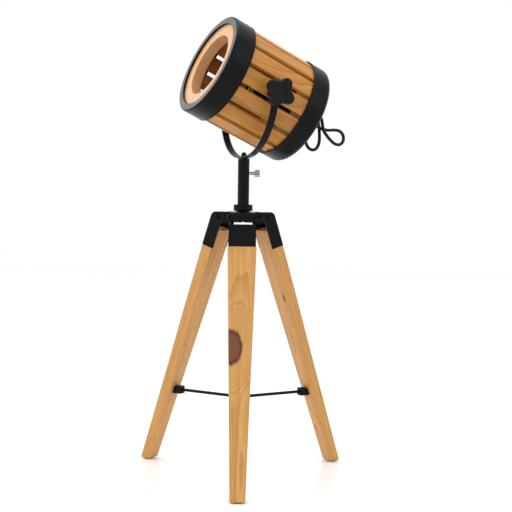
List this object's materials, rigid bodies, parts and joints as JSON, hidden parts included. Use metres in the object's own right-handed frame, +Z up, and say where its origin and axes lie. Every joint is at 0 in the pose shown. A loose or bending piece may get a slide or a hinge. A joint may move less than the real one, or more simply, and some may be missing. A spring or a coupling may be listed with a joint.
{
  "type": "tripod spotlight floor lamp",
  "caption": "Small tripod spotlight lamp: slatted wooden drum head tilting in a U-shaped steel yoke on a swivel post over splayed tapered wooden legs.",
  "frame": {"origin": "on the floor, under the middle of the lamp's own box measured without its cord", "axes": "+Z up; the front leg points along -Y; at rest the lamp's open mouth faces -X, a little towards -Y, and upwards"},
  "size_m": [0.2926, 0.294, 0.6322],
  "materials": {
    "leg_pine": "clear satin lacquer over knotty pine",
    "slat_pine": "honey-stained pine planks, satin",
    "plywood": "fine layered wood, sanded and clear lacquered",
    "black_steel": "satin black paint over bent and turned steel",
    "black_plastic": "moulded, satin",
    "zinc_steel": "bright zinc plated",
    "black_vinyl": "smooth flexible PVC jacket"
  },
  "bodies": {
    "stand": {"leg_front": "leg_pine", "leg_cap_front": "black_steel", "pivot_bolt_front": "black_steel", "lock_bolt_front": "black_steel", "foot_glide_front": "black_plastic", "brace_block_front": "black_steel", "leg_right": "leg_pine", "leg_cap_right": "black_steel", "pivot_bolt_right": "black_steel", "lock_bolt_right": "black_steel", "foot_glide_right": "black_plastic", "brace_block_right": "black_steel", "leg_left": "leg_pine", "leg_cap_left": "black_steel", "pivot_bolt_left": "black_steel", "lock_bolt_left": "black_steel", "foot_glide_left": "black_plastic", "brace_block_left": "black_steel", "hub": "black_steel", "brace": "black_steel", "post_tube": "black_steel", "post_collar": "black_steel"},
    "post_screw": {"thumb_screw": "zinc_steel"},
    "yoke": {"yoke_spigot": "zinc_steel", "yoke_strap": "black_steel", "yoke_bolt": "black_steel"},
    "head": {"slat_01": "slat_pine", "slat_02": "slat_pine", "slat_03": "slat_pine", "slat_04": "slat_pine", "slat_05": "slat_pine", "slat_06": "slat_pine", "slat_07": "slat_pine", "slat_08": "slat_pine", "slat_09": "slat_pine", "slat_10": "slat_pine", "slat_11": "slat_pine", "slat_12": "slat_pine", "slat_13": "slat_pine", "slat_14": "slat_pine", "slat_15": "slat_pine", "front_band": "black_steel", "rear_cap": "black_steel", "front_ring": "plywood", "rear_ring": "plywood", "lamp_holder": "black_plastic", "cord_gland": "black_plastic", "cord_lead": "black_vinyl", "cord_hank": "black_vinyl", "cord_to_switch": "black_vinyl", "cord_to_plug": "black_vinyl", "switch_body": "black_plastic", "plug": "black_plastic", "pivot_stud_right": "zinc_steel", "pivot_stud_left": "zinc_steel", "pivot_spacer_right": "black_steel", "pivot_spacer_left": "black_steel"},
    "knob_right": {"star_knob_right": "black_plastic"},
    "knob_left": {"star_knob_left": "black_plastic"},
    "rocker": {"switch_rocker": "black_plastic"}
  },
  "joints": [
    {"name": "pan", "type": "hinge", "parent": "stand", "child": "yoke", "pos_m": [0, 0.0309, 0.42], "axis": [0, 0, 1], "range_deg": [-175, 175]},
    {"name": "tilt", "type": "hinge", "parent": "yoke", "child": "head", "pos_m": [0.00664, 0.03417, 0.525], "axis": [0.4415, -0.8973, 0], "range_deg": [-12, 50]},
    {"name": "knob_right_turn", "type": "hinge", "parent": "head", "child": "knob_right", "pos_m": [0.00664, 0.03417, 0.525], "axis": [0.4415, -0.8973, 0], "continuous": true},
    {"name": "knob_left_turn", "type": "hinge", "parent": "head", "child": "knob_left", "pos_m": [0.00664, 0.03417, 0.525], "axis": [-0.4415, 0.8973, 0], "continuous": true},
    {"name": "thumb_screw_turn", "type": "hinge", "parent": "stand", "child": "post_screw", "pos_m": [0, 0.0309, 0.42], "axis": [1, 0, 0], "continuous": true},
    {"name": "rocker_tilt", "type": "hinge", "parent": "head", "child": "rocker", "pos_m": [0.06107, 0.14677, 0.49391], "axis": [-0.4415, 0.8973, 0], "range_deg": [0, 16]}
  ]
}
